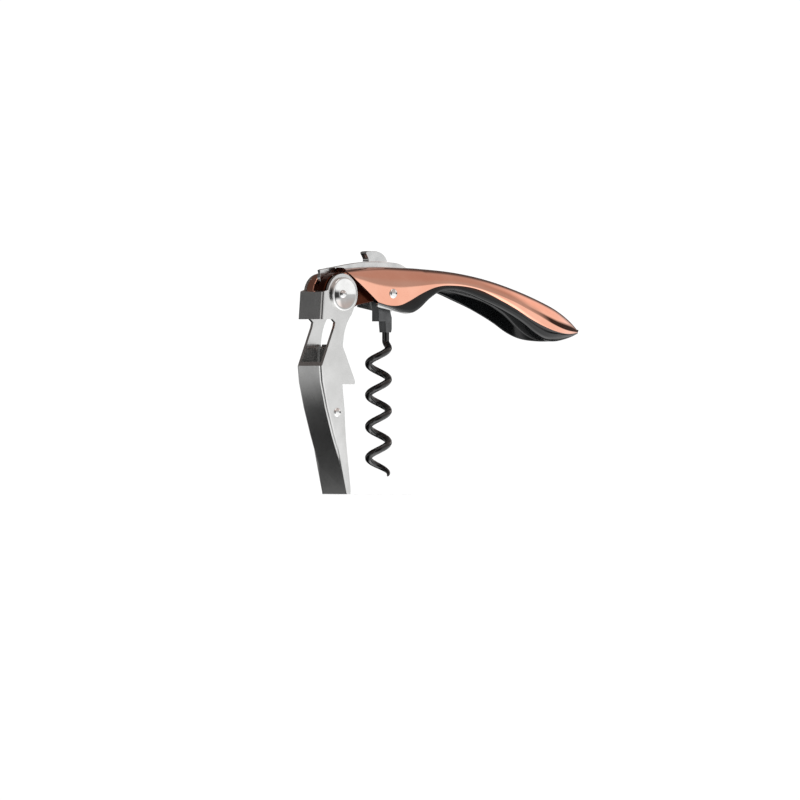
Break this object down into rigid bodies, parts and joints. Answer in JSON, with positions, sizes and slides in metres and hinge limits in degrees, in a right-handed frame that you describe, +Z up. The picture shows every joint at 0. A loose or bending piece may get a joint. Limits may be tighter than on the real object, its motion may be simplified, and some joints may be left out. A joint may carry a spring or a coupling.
{
  "type": "lever corkscrew",
  "caption": "Folding lever corkscrew with a bowed copper-plated handle, black insert, sprung two-step lever, cap lifter window, helical worm and a foil knife in its back.",
  "frame": {"origin": "on the worm's axis, in the plane of the bottle's lip, where the first step's sole rests", "axes": "+Z up along the worm, +X towards the tail of the handle, +Y away from the near cheek"},
  "size_m": [0.1126, 0.0164, 0.0726],
  "materials": {
    "copper_plate": "bright copper plating on cast zinc",
    "black_abs": "gloss moulded black",
    "steel_liner": "stamped stainless sheet",
    "polished_steel": "polished stainless",
    "satin_steel": "tumbled satin stainless",
    "blade_steel": "ground blade steel",
    "spring_steel": "drawn spring wire",
    "dark_zinc": "dark plated cast zinc",
    "coated_wire": "gloss black non-stick coating on steel wire",
    "brass": "turned",
    "acetal": "punched acetal"
  },
  "bodies": {
    "handle": {"handle_shell": "copper_plate", "handle_insert": "black_abs", "frame_plate_near": "steel_liner", "frame_plate_far": "steel_liner", "insert_screws": "steel_liner", "worm_pin": "polished_steel", "worm_spacers": "brass", "knife_pin": "polished_steel"},
    "lever": {"lever_channel": "satin_steel", "lever_axle": "polished_steel", "pivot_cap_near": "polished_steel", "pivot_cap_far": "polished_steel", "pivot_washers": "acetal", "step_rivet": "polished_steel", "step_bush": "brass", "step_spring": "spring_steel"},
    "step": {"step_lever": "satin_steel"},
    "worm": {"worm_hub": "dark_zinc", "worm_spiral": "coated_wire"},
    "knife": {"knife_blade": "blade_steel", "knife_thumb_tab": "blade_steel"}
  },
  "joints": [
    {"name": "lever_fold", "type": "hinge", "parent": "handle", "child": "lever", "pos_m": [-0.0198, 0, 0.0269], "axis": [0, -1, 0], "range_deg": [-32, 75]},
    {"name": "worm_fold", "type": "hinge", "parent": "handle", "child": "worm", "pos_m": [0, 0, 0.0271], "axis": [0, -1, 0], "range_deg": [-34, 79.6]},
    {"name": "step_swing", "type": "hinge", "parent": "lever", "child": "step", "pos_m": [-0.0221, 0, -0.0084], "axis": [0, -1, 0], "range_deg": [0, 23]},
    {"name": "knife_open", "type": "hinge", "parent": "handle", "child": "knife", "pos_m": [-0.0224, 0, 0.0319], "axis": [0, -1, 0], "range_deg": [0, 120]}
  ],
  "couplings": [
    {"joint": "worm_fold", "follows": "lever_fold", "ratio": 1.06}
  ]
}
